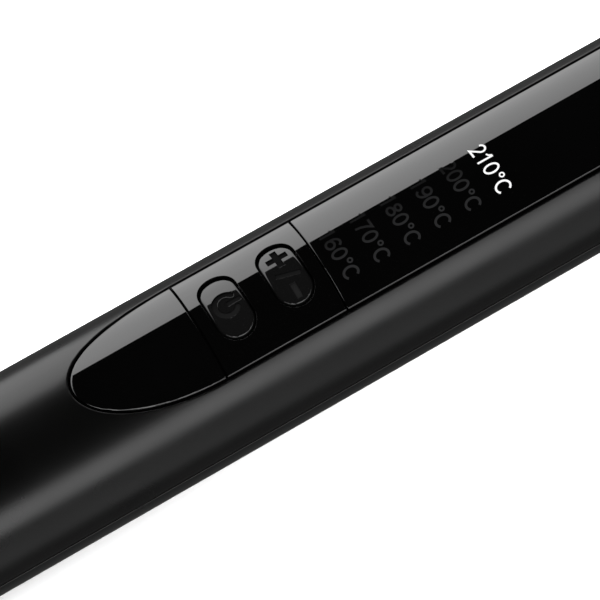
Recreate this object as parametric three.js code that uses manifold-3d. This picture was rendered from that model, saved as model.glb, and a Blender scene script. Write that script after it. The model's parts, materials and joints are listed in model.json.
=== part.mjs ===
// A clip-type hair curling iron, lying on a table on its fold-out stand and the heel of its handle.
// Every piece is drawn along the iron's own axis: x runs from the cord end to the tip, z points out
// of the control panel, and x = 0 is the rear edge of the handle shells. The finished group is then
// tipped nose-up onto the table, with the middle of its footprint at the origin. Millimetres.

import * as THREE from 'three';
import { mergeVertices } from 'three/addons/utils/BufferGeometryUtils.js';
import Module from 'manifold-3d';

const wasm = await Module();
wasm.setup();

// ---------------------------------------------------------------- driving dimensions

const gap = 0.3; // between pieces that touch
const boltPlay = 0.3; // radial, around a shank or a pin
const weld = 0.1; // how far the shapes that make up one piece run into each other

const handle = { length: 170, radius: 16.5, wall: 2.6, facets: 48 };
const shellInside = handle.radius - handle.wall;
const fromFront = (distance) => handle.length - distance;
const smallFacets = 24; // round pieces inside the handle

const seam = { gap: 0.3, lip: 0.9, lipHeight: 1.8, lipRoot: 3, lipRear: 22, lipFront: fromFront(14) };

const inlay = {
  tip: fromFront(128.2), front: fromFront(8), halfArc: 10.9, corner: 5, thickness: 1.3, sunk: 0.1,
};
const divider = { rear: fromFront(104.9), front: fromFront(81.9) };
const pill = { halfWidth: 3.55, halfLength: 6.65, centreArc: 0.3 };
const flange = { reach: 0.6, drop: 0.7, thickness: 1 };
const powerButton = { x: divider.rear + 5.9, travel: 0.5, rest: 0.1 };
const rockerButton = { x: divider.front - 5.9, throwHeight: 4.4, swing: 3, stem: 1, rest: 0.2 };
const buttonWell = { margin: 1.2, halfWidth: pill.halfLength + 1.65 };
const label = {
  first: divider.front + 3.6, pitch: 5.96, count: 6, cell: 4.6, low: -6.6, high: 3.6, wall: 0.7,
};

const board = {
  rear: fromFront(108), front: fromFront(32), thickness: 1.6, top: shellInside - 3.9, edgeClear: 0.45,
};
const powerBoard = {
  rear: board.rear, front: board.front, halfWidth: shellInside - 3.9, thickness: 1.6, top: -1,
};
const tactSwitch = { side: 4.5, body: 1, height: 1.5 };
const led = { length: 1.6, width: 3.2, height: 0.8 };
const chip = { rear: fromFront(70), length: 10, halfWidth: 4, height: 1.5 };
const capacitor = { rear: fromFront(100), length: 16, halfWidth: 5, height: 8 };
const triac = { rear: fromFront(70), length: 10, halfWidth: 4, height: 2.3 };

const boss = { rear: 28, front: fromFront(18), lower: 4.4, upper: 3.4, pilotTop: 9 };
const screw = { shank: 1.3, head: 2.6, headHeight: 2, bearing: -9.3, length: 17, joint: 0.5 };
const collarScrew = { x: fromFront(5), sink: 1.5, headHeight: 1.3 };

const cap = { length: 12, spigot: 6, spigotWall: 1.8, round: 5 };
const swivel = {
  neck: 8, tail: 30, flare: 1.6, flareLength: 4, end: 6.6, socket: 5, socketDepth: 16, wireHole: 2.4,
};
const clip = { groove: 0.7, width: 2, radius: swivel.neck + 2.5 };
const slip = { seat: swivel.neck - 1.6, radius: swivel.neck - 0.5, width: 3, rear: 5, pitch: 6, end: 16 };
const brush = { thickness: 1, halfWidth: 2 };
const brushHolder = { rear: slip.end + 1, thickness: 2, radius: shellInside - 0.5 };
const lead = { radius: 0.9, sides: 8, bossClear: 2.6, sag: 3, spread: 5, straight: 1.8 };

const barrel = { rear: fromFront(12), length: 167, radius: 12.5, wall: 0.9, facets: 40 };
const barrelFront = barrel.rear + barrel.length;
const collar = { spigot: 10, length: 14, straight: 7, nose: handle.radius - 1.5 };
const heatRing = { width: 3, nose: collar.nose - 0.8 };
const tipInsulator = { spigot: 10, width: 3, bore: 4 };
const tipCap = { length: 17.4, round: 7 };
const heater = {
  rear: barrel.rear + 42, length: barrel.length - 77, elementHalfWidth: 7, elementThickness: 2, overhang: 2,
};
const fuse = { rear: barrel.rear + 17, length: 10, radius: 2, height: 4 };
const thermistor = { rear: barrel.rear + 33, length: 6, radius: 1.5, height: 6 };

// The pivot stands high enough for the thumb lever to clear the handle when it is pressed.
const pivot = { x: handle.length + 23, z: handle.radius + 2, pin: 1.5, head: 2.3, headWidth: 0.8 };
const bracket = {
  rear: pivot.x - 4.5, length: 9.5, sheet: 1.2, lowest: barrel.radius - 3.5,
  ear: 1.4, earInner: 5, earRadius: 3.2,
};
const spoon = {
  rear: pivot.x + 6, front: barrelFront - 7, sheet: 0.9, halfWidth: barrel.radius - 1.9, endLength: 14,
};
const lug = { inner: 3.2, thickness: 1.4, radius: 3, reach: 7.5, drop: 1.2, foot: 6 };
const tongue = { rise: 18, rear: 4.5, length: 29.5, low: 1.6, sheet: 1.2 };
const thumb = { start: 8, end: 40, halfWidth: 8.5, low: 0.6, height: 4.4, corner: 7, chamfer: [4, 2] };
const spring = { wire: 0.45, coil: 2.6, turns: 4, pitch: 1.1, leg: 6.75, legDrop: 0.45 };

const stand = {
  x: handle.length + 6, reach: 38, lean: 8, arm: 3, barHeight: 4, width: 7, sideGap: 1.8, eye: 4.5,
};
const standPin = { radius: 1.9, inner: barrel.radius + gap + 0.4, head: 3.4, headWidth: 1.2 };
const foot = { thickness: 1.5, halfLength: 16, width: 7 };
const heel = { x: -5, flat: 0.4 };

// ---------------------------------------------------------------- sizes that follow from them

const inlayOutside = handle.radius - inlay.sunk;
const inlayInside = inlayOutside - inlay.thickness;
const recessFloor = inlayInside - gap;
const spigotRadius = shellInside - gap;
const bore = barrel.radius + gap;
const collarRear = handle.length + gap;
const collarFront = collarRear + collar.length;
const standArmInner = handle.radius + stand.sideGap;

const radians = THREE.MathUtils.degToRad;
const chord = (radius, distance) => Math.sqrt(radius ** 2 - distance ** 2);
const lean = radians(stand.lean);
const footCentre = {
  x: stand.x + stand.reach * Math.sin(lean),
  z: -stand.reach * Math.cos(lean) - foot.thickness - gap,
};
const heelHeight = -(handle.radius - heel.flat);
const noseUp = Math.atan2(heelHeight - footCentre.z, footCentre.x - heel.x);

// ---------------------------------------------------------------- solids

function solid(geometry) {
  geometry.deleteAttribute('normal');
  geometry.deleteAttribute('uv');
  const merged = mergeVertices(geometry, 1e-4);
  const index = merged.index.array;
  const triangles = [];
  for (let i = 0; i < index.length; i += 3) {
    const [a, b, c] = index.slice(i, i + 3);
    if (a !== b && b !== c && c !== a) triangles.push(a, b, c);
  }
  return new wasm.Manifold(new wasm.Mesh({
    numProp: 3,
    vertProperties: new Float32Array(merged.attributes.position.array),
    triVerts: new Uint32Array(triangles),
  }));
}

function join(...pieces) {
  return pieces.reduce((whole, piece) => whole.add(piece));
}

// A solid of revolution about the x axis. The profile is a list of [x, radius] points, either from
// axis to axis or round a closed ring, and it is put in the order that makes the faces point out.
function lathe(profile, facets = handle.facets) {
  const points = profile.map(([x, radius]) => new THREE.Vector2(radius, x));
  if (THREE.ShapeUtils.area(points) < 0) points.reverse();
  if (profile.every(([, radius]) => radius > 0)) points.push(points[0].clone());
  const geometry = new THREE.LatheGeometry(points, facets);
  geometry.rotateZ(-Math.PI / 2);
  return solid(geometry);
}

function rod(start, end, radius, facets = handle.facets) {
  return lathe([[start, 0], [start, radius], [end, radius], [end, 0]], facets);
}

function tube(start, end, outer, inner, facets = handle.facets) {
  return lathe([[start, inner], [start, outer], [end, outer], [end, inner]], facets);
}

function box([x0, x1], [y0, y1], [z0, z1]) {
  const geometry = new THREE.BoxGeometry(x1 - x0, y1 - y0, z1 - z0);
  geometry.translate((x0 + x1) / 2, (y0 + y1) / 2, (z0 + z1) / 2);
  return solid(geometry);
}

function outline(points) {
  return new THREE.Shape(points.map(([a, b]) => new THREE.Vector2(a, b)));
}

const extrusions = {
  z: { axes: [[1, 0, 0], [0, 1, 0], [0, 0, 1]], sign: 1 },
  y: { axes: [[1, 0, 0], [0, 0, 1], [0, -1, 0]], sign: -1 },
  x: { axes: [[0, 1, 0], [0, 0, 1], [1, 0, 0]], sign: 1 },
};

// An outline pushed along one axis, from one place on it to another.
function prism(points, axis, from, to) {
  const geometry = new THREE.ExtrudeGeometry(outline(points), { depth: to - from, bevelEnabled: false });
  const { axes, sign } = extrusions[axis];
  const [right, up, along] = axes.map((vector) => new THREE.Vector3(...vector));
  geometry.translate(0, 0, sign > 0 ? from : -to);
  geometry.applyMatrix4(new THREE.Matrix4().makeBasis(right, up, along));
  return solid(geometry);
}

function arc(cx, cy, rx, ry, from, to, steps) {
  return Array.from({ length: steps + 1 }, (_, i) => {
    const turn = from + (to - from) * i / steps;
    return [cx + rx * Math.cos(turn), cy + ry * Math.sin(turn)];
  });
}

function disc(cx, cy, radius, steps = 24) {
  return arc(cx, cy, radius, radius, 0, 2 * Math.PI * (1 - 1 / steps), steps - 1);
}

// A place given as a distance round the handle's skin, seen from straight above.
function wrapped([x, around]) {
  return [x, handle.radius * Math.sin(around / handle.radius)];
}

function mirrored(makeSide) {
  return join(makeSide(1), makeSide(-1));
}

function acrossY(points, side, inner, outer) {
  return side > 0 ? prism(points, 'y', inner, outer) : prism(points, 'y', -outer, -inner);
}

// A box laid on the table: x along the iron, heights measured up from the table top.
function onTable([x0, x1], [y0, y1], [low, high]) {
  const block = new THREE.BoxGeometry(x1 - x0, y1 - y0, high - low);
  block.translate((x0 + x1) / 2 - footCentre.x, (y0 + y1) / 2, (low + high) / 2);
  block.rotateY(noseUp);
  block.translate(footCentre.x, 0, footCentre.z);
  return solid(block);
}

function underTable(height = 0) {
  const span = 2 * barrelFront;
  return onTable([-span, span], [-span, span], [-span, height]);
}

const farOut = 3 * handle.radius;
const aboveSeam = (length) => box([-farOut, length], [-farOut, farOut], [seam.gap / 2, farOut]);
const belowSeam = (length) => box([-farOut, length], [-farOut, farOut], [-farOut, -seam.gap / 2]);

// ---------------------------------------------------------------- handle shells

function inlayOutline(grow) {
  const halfArc = inlay.halfArc + grow;
  const { corner } = inlay;
  const rear = arc(divider.rear, 0, divider.rear - inlay.tip + grow, halfArc, Math.PI / 2, 1.5 * Math.PI, 24);
  const cornerX = inlay.front + grow - corner;
  const right = arc(cornerX, corner - halfArc, corner, corner, -Math.PI / 2, 0, 6);
  const left = arc(cornerX, halfArc - corner, corner, corner, 0, Math.PI / 2, 6);
  return [...rear, ...right, ...left].map(wrapped);
}

function inlayRecess() {
  const skin = tube(0, handle.length, farOut, recessFloor);
  return skin.intersect(prism(inlayOutline(gap), 'z', 0, farOut));
}

function labelX(i) {
  return label.first + i * label.pitch;
}

function guideEnds(grow) {
  const reach = label.cell / 2 + label.wall + grow;
  return [labelX(0) - reach, labelX(label.count - 1) + reach];
}

function guideSides(grow) {
  return [label.low - label.wall - grow, label.high + label.wall + grow];
}

function screwHole(x, low, high, radius) {
  return prism(disc(x, 0, radius), 'z', low, high);
}

function upperShell() {
  const { rear, front, upper, pilotTop } = boss;
  const towers = [rear, front].map((x) => prism(disc(x, 0, upper), 'z', 0, shellInside + weld));
  const inside = rod(0, handle.length, shellInside);
  const shell = tube(0, handle.length, handle.radius, shellInside);
  const well = box(
    [divider.rear + buttonWell.margin, divider.front - buttonWell.margin],
    [-buttonWell.halfWidth, buttonWell.halfWidth], [0, farOut],
  );
  const window = box(guideEnds(gap), guideSides(gap), [0, farOut]);
  let body = shell.subtract(inlayRecess()).subtract(well).subtract(window);
  for (const tower of towers) body = body.add(tower.intersect(inside.add(shell)));
  for (const x of [rear, front]) body = body.subtract(screwHole(x, 0, pilotTop, screw.shank + boltPlay));
  return body.intersect(aboveSeam(handle.length));
}

function seamLip() {
  const { lip, lipHeight, lipRoot, lipRear, lipFront } = seam;
  const root = tube(lipRear, lipFront, shellInside + gap, shellInside - gap - lip);
  const tongueStrip = tube(lipRear, lipFront, shellInside - gap, shellInside - gap - lip);
  const rootBand = box([lipRear, lipFront], [-farOut, farOut], [-lipRoot, -seam.gap / 2]);
  const tongueBand = box([lipRear, lipFront], [-farOut, farOut], [-lipRoot, lipHeight]);
  return root.intersect(rootBand).add(tongueStrip.intersect(tongueBand));
}

function lowerShell() {
  const shell = tube(0, handle.length, handle.radius, shellInside);
  const inside = rod(0, handle.length, handle.radius);
  let body = shell;
  for (const x of [boss.rear, boss.front]) {
    body = body.add(prism(disc(x, 0, boss.lower), 'z', -handle.radius, 0).intersect(inside));
  }
  body = body.intersect(belowSeam(handle.length)).add(seamLip());
  for (const x of [boss.rear, boss.front]) {
    body = body.subtract(screwHole(x, -farOut, farOut, screw.shank + boltPlay));
    body = body.subtract(screwHole(x, -farOut, screw.bearing + gap, screw.head + boltPlay));
  }
  const seat = -handle.radius + collarScrew.sink;
  body = body.subtract(screwHole(collarScrew.x, -farOut, 0, screw.shank + boltPlay));
  return body.subtract(screwHole(collarScrew.x, -farOut, seat, screw.head + boltPlay));
}

function shellScrew(x) {
  const { shank, head, headHeight, bearing, length, joint } = screw;
  const headDisc = prism(disc(x, 0, head), 'z', bearing - headHeight, bearing);
  return headDisc.add(prism(disc(x, 0, shank, 12), 'z', bearing - joint, bearing + length));
}

function shortScrew() {
  const bearing = -handle.radius + collarScrew.sink - gap;
  const { x, headHeight } = collarScrew;
  const headDisc = prism(disc(x, 0, screw.head), 'z', bearing - headHeight + gap, bearing);
  return headDisc.add(prism(disc(x, 0, screw.shank, 12), 'z', bearing - screw.joint, -bore - weld));
}

function rearCap() {
  const { length, spigot, spigotWall, round } = cap;
  const shoulder = arc(round - length, handle.radius - round, round, round, Math.PI, Math.PI / 2, 4);
  const holeRadius = swivel.neck + boltPlay;
  const profile = [
    [-length, holeRadius], ...shoulder, [-gap, handle.radius], [-gap, spigotRadius], [spigot, spigotRadius],
    [spigot, spigotRadius - spigotWall], [0, spigotRadius - spigotWall], [0, holeRadius],
  ];
  return lathe(profile).subtract(underTable());
}

// ---------------------------------------------------------------- control panel

function inlayPiece(start, end) {
  const skin = tube(start, end, inlayOutside, inlayInside);
  return skin.intersect(prism(inlayOutline(0), 'z', 0, farOut));
}

function pillOutline(x, grow) {
  const radius = pill.halfWidth + grow;
  const offset = pill.halfLength - pill.halfWidth;
  const far = arc(x, pill.centreArc + offset, radius, radius, 0, Math.PI, 10);
  const near = arc(x, pill.centreArc - offset, radius, radius, Math.PI, 2 * Math.PI, 10);
  return [...far, ...near].map(wrapped);
}

function tailLens() {
  return inlayPiece(inlay.tip - gap, divider.rear - gap / 2);
}

function displayLens() {
  return inlayPiece(divider.front + gap / 2, inlay.front + gap);
}

function buttonPanel() {
  const plate = inlayPiece(divider.rear + gap / 2, divider.front - gap / 2);
  const holes = [powerButton.x, rockerButton.x].map((x) => prism(pillOutline(x, 0), 'z', 0, farOut));
  return plate.subtract(holes[0]).subtract(holes[1]);
}

// The cap that shows, and the flange under the panel that keeps it in.
function buttonCap(x) {
  const flangeTop = inlayInside - flange.drop;
  const flangeBottom = flangeTop - flange.thickness;
  const start = x - 2 * pill.halfWidth;
  const end = x + 2 * pill.halfWidth;
  const skin = tube(start, end, inlayOutside, flangeBottom);
  const top = skin.intersect(prism(pillOutline(x, -gap), 'z', 0, farOut));
  const rim = tube(start, end, flangeTop, flangeBottom);
  return top.add(rim.intersect(prism(pillOutline(x, flange.reach - gap), 'z', 0, farOut)));
}

const switchTop = board.top + gap + tactSwitch.height;

// How high a stem may rise, at a distance from the middle, and still end inside the flange.
function stemTop(distance) {
  return chord(inlayInside - flange.drop, distance) - weld;
}

function powerButtonCap() {
  const stemRadius = tactSwitch.side / 3;
  const bottom = switchTop + powerButton.travel + powerButton.rest;
  const stem = prism(disc(powerButton.x, 0, stemRadius, 16), 'z', bottom, inlayInside - flange.drop);
  return buttonCap(powerButton.x).add(stem);
}

function rockerButtonCap() {
  const { x, throwHeight, swing, stem, rest } = rockerButton;
  const bottom = switchTop + throwHeight * Math.sin(radians(swing)) + rest;
  const stems = mirrored((side) => {
    const y = pill.centreArc + side * throwHeight;
    return prism(disc(x, y, stem, 12), 'z', bottom, stemTop(Math.abs(y) + stem));
  });
  return buttonCap(x).add(stems);
}

function tact(x, y) {
  const half = tactSwitch.side / 2;
  const low = board.top + gap;
  const shape = box([x - half, x + half], [y - half / 2, y + half / 2], [low, low + tactSwitch.body]);
  return shape.add(prism(disc(x, y, half / 2, 16), 'z', low, switchTop));
}

function lightGuide() {
  const [rear, front] = guideEnds(0);
  let block = box([rear, front], guideSides(0), [board.top + gap, farOut]);
  block = block.intersect(rod(rear, front, recessFloor));
  for (let i = 0; i < label.count; i += 1) {
    const half = label.cell / 2;
    block = block.subtract(box([labelX(i) - half, labelX(i) + half], [label.low, label.high], [0, farOut]));
  }
  return block;
}

function labelLed(i) {
  const middle = (label.low + label.high) / 2;
  const low = board.top + gap;
  const { length, width, height } = led;
  return box(
    [labelX(i) - length / 2, labelX(i) + length / 2], [middle - width / 2, middle + width / 2],
    [low, low + height],
  );
}

function flatBoard({ rear, front, thickness, top }, halfWidth) {
  return box([rear, front], [-halfWidth, halfWidth], [top - thickness, top]);
}

function underBoard({ rear, length, halfWidth, height }, { top, thickness }) {
  const high = top - thickness - gap;
  return box([rear, rear + length], [-halfWidth, halfWidth], [high - height, high]);
}

// ---------------------------------------------------------------- cord swivel

function swivelGland() {
  const { neck, tail, flare, flareLength, end, socket, socketDepth, wireHole } = swivel;
  const shoulder = neck + flare;
  const seat = neck - clip.groove;
  const grooveEnd = clip.width + 2 * gap;
  const profile = [
    [-tail, socket], [-tail, end], [-cap.length - flareLength, shoulder], [-cap.length - gap, shoulder],
    [-cap.length - gap, neck], [0, neck], [0, seat], [grooveEnd, seat], [grooveEnd, neck],
    [slip.rear - gap, neck], [slip.rear - gap, slip.seat], [slip.end, slip.seat], [slip.end, wireHole],
    [socketDepth - tail, wireHole], [socketDepth - tail, socket],
  ];
  return lathe(profile, smallFacets);
}

function swivelClip() {
  return tube(gap, gap + clip.width, clip.radius, swivel.neck - clip.groove + gap, smallFacets);
}

function slipRing(i) {
  const start = slip.rear + i * slip.pitch;
  return tube(start, start + slip.width, slip.radius, slip.seat + gap, smallFacets);
}

function contactBrush(i, side) {
  const start = slip.rear + i * slip.pitch;
  const near = slip.radius + gap;
  const across = [side * near, side * (near + brush.thickness)].sort((a, b) => a - b);
  return box([start, brushHolder.rear - gap], across, [-brush.halfWidth, brush.halfWidth]);
}

function holderDisc() {
  const { rear, thickness, radius } = brushHolder;
  return rod(rear, rear + thickness, radius, smallFacets);
}

function wire(points, radius = lead.radius) {
  const path = new THREE.CatmullRomCurve3(points.map((point) => new THREE.Vector3(...point)));
  const section = outline(disc(0, 0, radius, lead.sides));
  const steps = 5 * (points.length - 1);
  return solid(new THREE.ExtrudeGeometry(section, { steps, extrudePath: path, bevelEnabled: false }));
}

// Both pairs of leads pass the screw towers on either side.
const leadPass = boss.lower + lead.bossClear;
const leadLevel = powerBoard.top - powerBoard.thickness / 2;

function inputLead(side) {
  const start = brushHolder.rear + brushHolder.thickness + gap;
  const end = powerBoard.rear - gap;
  const along = (share) => start + (end - start) * share;
  return wire([
    [start, side * leadPass, 0], [start + lead.straight, side * leadPass, 0],
    [along(0.3), side * leadPass, -lead.sag], [along(0.72), side * leadPass, -lead.sag],
    [end - lead.straight, side * lead.spread, leadLevel], [end, side * lead.spread, leadLevel],
  ]);
}

function heaterLead(side) {
  return wire([
    [powerBoard.front + gap, side * lead.spread, leadLevel], [boss.front, side * leadPass, -2],
    [barrel.rear + collar.spigot, side * (leadPass - 1), -1],
    [heater.rear - heater.overhang - gap, side * (lead.spread - 1), 0],
  ]);
}

// ---------------------------------------------------------------- barrel, heater and tip

function frontCollar() {
  const { spigot, straight, nose } = collar;
  const ring = lathe([
    [handle.length - spigot, bore], [handle.length - spigot, spigotRadius], [collarRear, spigotRadius],
    [collarRear, handle.radius], [collarRear + straight, handle.radius], [collarFront, nose],
    [collarFront, bore],
  ]);
  const eyes = mirrored((side) => acrossY(disc(stand.x, 0, stand.eye), side, bore, standArmInner - gap));
  const pinHole = disc(stand.x, 0, standPin.radius + boltPlay);
  const holes = mirrored((side) => acrossY(pinHole, side, bore - 1, farOut));
  const screwWay = screwHole(collarScrew.x, -farOut, 0, screw.shank + boltPlay);
  const throat = rod(0, barrelFront, bore);
  return join(ring, eyes).subtract(throat).subtract(holes).subtract(screwWay);
}

function heatRingBand() {
  const start = collarFront + gap;
  const end = start + heatRing.width;
  return lathe([[start, bore], [start, collar.nose], [end, heatRing.nose], [end, bore]]);
}

function barrelTube() {
  return tube(barrel.rear, barrelFront, barrel.radius, barrel.radius - barrel.wall, barrel.facets);
}

function heaterBlock(side) {
  const radius = barrel.radius - barrel.wall - gap;
  const face = heater.elementThickness / 2 + gap;
  const core = rod(heater.rear, heater.rear + heater.length, radius, barrel.facets);
  const span = side > 0 ? [face, farOut] : [-farOut, -face];
  return core.intersect(box([heater.rear, heater.rear + heater.length], [-farOut, farOut], span));
}

function heaterElement() {
  const { rear, length, overhang, elementHalfWidth, elementThickness } = heater;
  const half = elementThickness / 2;
  const ends = [rear - overhang, rear + length + overhang];
  return box(ends, [-elementHalfWidth, elementHalfWidth], [-half, half]);
}

function capsule({ rear, length, radius, height }) {
  const start = arc(rear + radius, 0, radius, radius, Math.PI, Math.PI / 2, 3);
  const end = arc(rear + length - radius, 0, radius, radius, Math.PI / 2, 0, 3);
  start[0][1] = 0;
  end[end.length - 1][1] = 0;
  return lathe([...start, ...end], 12).translate(0, 0, height);
}

function insulatorRing() {
  const { spigot, width, bore: hole } = tipInsulator;
  const start = barrelFront + gap;
  const spigotOut = barrel.radius - barrel.wall - gap;
  return lathe([
    [start - spigot, hole], [start - spigot, spigotOut], [start, spigotOut], [start, barrel.radius],
    [start + width, barrel.radius], [start + width, hole],
  ], barrel.facets);
}

function coolTip() {
  const start = barrelFront + 2 * gap + tipInsulator.width;
  const end = start + tipCap.length;
  const { round } = tipCap;
  const stud = tipInsulator.bore - gap;
  const nose = arc(end - round, barrel.radius - round, round, round, Math.PI / 2, 0, 6);
  return lathe([
    [start - tipInsulator.spigot, 0], [start - tipInsulator.spigot, stud], [start, stud],
    [start, barrel.radius], ...nose, [end, 0],
  ], barrel.facets);
}

// ---------------------------------------------------------------- clamp

function clampBracket() {
  const { rear, length, sheet, lowest, ear, earInner, earRadius } = bracket;
  const saddle = tube(rear, rear + length, bore + sheet, bore, barrel.facets);
  const ears = mirrored((side) => {
    const post = [
      [pivot.x - earRadius, lowest], [pivot.x + earRadius, lowest],
      [pivot.x + earRadius, pivot.z], [pivot.x - earRadius, pivot.z],
    ];
    const plate = acrossY(post, side, earInner, earInner + ear);
    return plate.add(acrossY(disc(pivot.x, pivot.z, earRadius), side, earInner, earInner + ear));
  });
  const cut = join(saddle.intersect(box([0, barrelFront], [-farOut, farOut], [lowest, farOut])), ears);
  const pinHole = prism(disc(pivot.x, pivot.z, pivot.pin + boltPlay), 'y', -farOut, farOut);
  return cut.subtract(rod(0, barrelFront, bore, barrel.facets)).subtract(pinHole);
}

function clampPin() {
  const reach = bracket.earInner + bracket.ear + gap;
  const shank = prism(disc(pivot.x, pivot.z, pivot.pin, 20), 'y', -reach - weld, reach + weld);
  const heads = mirrored((side) => (
    acrossY(disc(pivot.x, pivot.z, pivot.head), side, reach, reach + pivot.headWidth)
  ));
  return join(shank, heads);
}

// A place on the lever side of the clamp: distance back from the pivot, then height over its line.
function leverPoint([back, up]) {
  const rise = radians(tongue.rise);
  return [
    pivot.x - back * Math.cos(rise) + up * Math.sin(rise),
    pivot.z + back * Math.sin(rise) + up * Math.cos(rise),
  ];
}

function leverBar([start, end], [low, high], inner, outer) {
  const points = [[start, low], [end, low], [end, high], [start, high]].map(leverPoint).reverse();
  return prism(points, 'y', inner, outer);
}

function clampSpoon() {
  const { rear, front, sheet, halfWidth, endLength } = spoon;
  const end = arc(front - endLength, 0, endLength, halfWidth, -Math.PI / 2, Math.PI / 2, 16);
  const plan = [[rear, halfWidth], [rear, -halfWidth], ...end];
  const blade = tube(rear, front, bore + sheet, bore, barrel.facets);
  const outer = lug.inner + lug.thickness;
  const top = tongue.low + tongue.sheet;
  const root = chord(bore + sheet, outer);
  const bridge = 0.7 * sheet;
  const neck = [
    [pivot.x + lug.radius / 2, pivot.z - 0.9 * lug.radius], [rear + gap, root + bridge], [rear + gap, root],
    [rear + lug.foot, root], [rear + lug.foot, root + bridge], [rear + gap, pivot.z - lug.radius / 3],
    [pivot.x + 0.8 * lug.radius, pivot.z + 0.6 * lug.radius],
  ];
  const lugs = mirrored((side) => {
    const eye = acrossY(disc(pivot.x, pivot.z, lug.radius), side, lug.inner, outer);
    const span = side > 0 ? [lug.inner, outer] : [-outer, -lug.inner];
    const bar = leverBar([0, lug.reach], [-lug.drop, top], ...span);
    return join(eye, acrossY(neck, side, lug.inner, outer), bar);
  });
  const strip = leverBar([tongue.rear, tongue.rear + tongue.length], [tongue.low, top], -outer, outer);
  const pinHole = prism(disc(pivot.x, pivot.z, pivot.pin + boltPlay), 'y', -farOut, farOut);
  return join(blade.intersect(prism(plan, 'z', 0, farOut)), lugs, strip).subtract(pinHole);
}

function thumbLever() {
  const { start, end, halfWidth, low, height, corner, chamfer } = thumb;
  const nose = arc(end - corner, halfWidth - corner, corner, corner, Math.PI / 2, 0, 8);
  const heelEnd = arc(end - corner, corner - halfWidth, corner, corner, 0, -Math.PI / 2, 8);
  const [along, across] = chamfer;
  const plan = [
    [start, across - halfWidth], [start, halfWidth - across], [start + along, halfWidth], ...nose, ...heelEnd,
    [start + along, -halfWidth],
  ].reverse();
  const slab = new THREE.ExtrudeGeometry(outline(plan), { depth: height, bevelEnabled: false });
  const rise = radians(tongue.rise);
  const back = new THREE.Vector3(-Math.cos(rise), 0, Math.sin(rise));
  const up = new THREE.Vector3(Math.sin(rise), 0, Math.cos(rise));
  slab.translate(0, 0, low);
  slab.applyMatrix4(new THREE.Matrix4().makeBasis(back, new THREE.Vector3().crossVectors(up, back), up));
  slab.translate(pivot.x, 0, pivot.z);
  const outer = lug.inner + lug.thickness + gap;
  const pocket = leverBar(
    [start - 1, tongue.rear + tongue.length + gap],
    [tongue.low - gap, tongue.low + tongue.sheet + gap], -outer, outer,
  );
  return solid(slab).subtract(pocket);
}

function clampSpring() {
  const { wire: thickness, coil, turns, pitch, leg, legDrop } = spring;
  const perTurn = 12;
  const rise = radians(tongue.rise);
  const from = Math.PI / 2 - rise;
  const width = turns * pitch / 2;
  const points = [];
  const place = (turn, y) => [pivot.x - coil * Math.cos(turn), y, pivot.z + coil * Math.sin(turn)];
  for (let i = 0; i <= turns * perTurn; i += 1) {
    points.push(place(from + 2 * Math.PI * i / perTurn, -width + pitch * i / perTurn));
  }
  const [x, y, z] = points[0];
  points.unshift([x + leg, y, z - legDrop]);
  const path = new THREE.CatmullRomCurve3(points.map((point) => new THREE.Vector3(...point)));
  const section = outline(disc(0, 0, thickness, 6));
  return solid(new THREE.ExtrudeGeometry(section, { steps: 64, extrudePath: path, bevelEnabled: false }));
}

// ---------------------------------------------------------------- stand

function leaning(piece) {
  return piece.translate(-stand.x, 0, 0).rotate([0, -stand.lean, 0]).translate(stand.x, 0, 0);
}

function standBail() {
  const { x, reach, arm, barHeight, width, eye } = stand;
  const outer = standArmInner + arm;
  const corner = barHeight;
  const right = arc(outer - corner, corner - reach, corner, corner, 0, -Math.PI / 2, 5);
  const left = arc(corner - outer, corner - reach, corner, corner, -Math.PI / 2, -Math.PI, 5);
  const bar = barHeight - reach;
  const hoop = [
    [outer, 0], ...right, ...left, [-outer, 0], [-standArmInner, 0], [-standArmInner, bar],
    [standArmInner, bar], [standArmInner, 0],
  ].reverse();
  const legs = prism(hoop, 'x', x - width / 2, x + width / 2);
  const eyes = mirrored((side) => acrossY(disc(x, 0, eye), side, standArmInner, outer));
  const holes = mirrored((side) => (
    acrossY(disc(x, 0, standPin.radius + boltPlay), side, standArmInner - 1, outer + 1)
  ));
  return leaning(join(legs, eyes).subtract(holes)).subtract(underTable(foot.thickness + gap));
}

function standFoot() {
  const { thickness, halfLength, width } = foot;
  const middle = footCentre.x;
  return onTable([middle - width / 2, middle + width / 2], [-halfLength, halfLength], [0, thickness]);
}

function standPinOn(side) {
  const outer = standArmInner + stand.arm + gap;
  const shank = acrossY(disc(stand.x, 0, standPin.radius, 20), side, standPin.inner, outer + weld);
  return shank.add(acrossY(disc(stand.x, 0, standPin.head), side, outer, outer + standPin.headWidth));
}

// ---------------------------------------------------------------- materials and assembly

const finish = (color, roughness, metalness = 0) => (
  new THREE.MeshStandardMaterial({ color, roughness, metalness })
);
const satinBlack = () => finish(0x1b1b1c, 0.45);
const glossBlack = () => finish(0x060607, 0.08);
const rubberBlack = () => finish(0x161616, 0.85);
const steel = () => finish(0xb9bbbe, 0.35, 1);
const brass = () => finish(0xc9a04a, 0.3, 1);
const aluminium = () => finish(0xa9abae, 0.4, 1);
const greenBoard = () => finish(0x1c5a34, 0.5);
const whitePlastic = () => finish(0xe6e4dc, 0.5);
const ceramicCoat = () => finish(0x202022, 0.3, 0.2);

const iron = new THREE.Group();

function add(name, piece, material) {
  const { numProp, vertProperties, triVerts } = piece.getMesh();
  const geometry = new THREE.BufferGeometry();
  geometry.setAttribute('position', new THREE.BufferAttribute(new Float32Array(vertProperties), numProp));
  geometry.setIndex(new THREE.BufferAttribute(new Uint32Array(triVerts), 1));
  geometry.computeVertexNormals();
  const mesh = new THREE.Mesh(geometry, material);
  mesh.name = name;
  iron.add(mesh);
}

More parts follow.
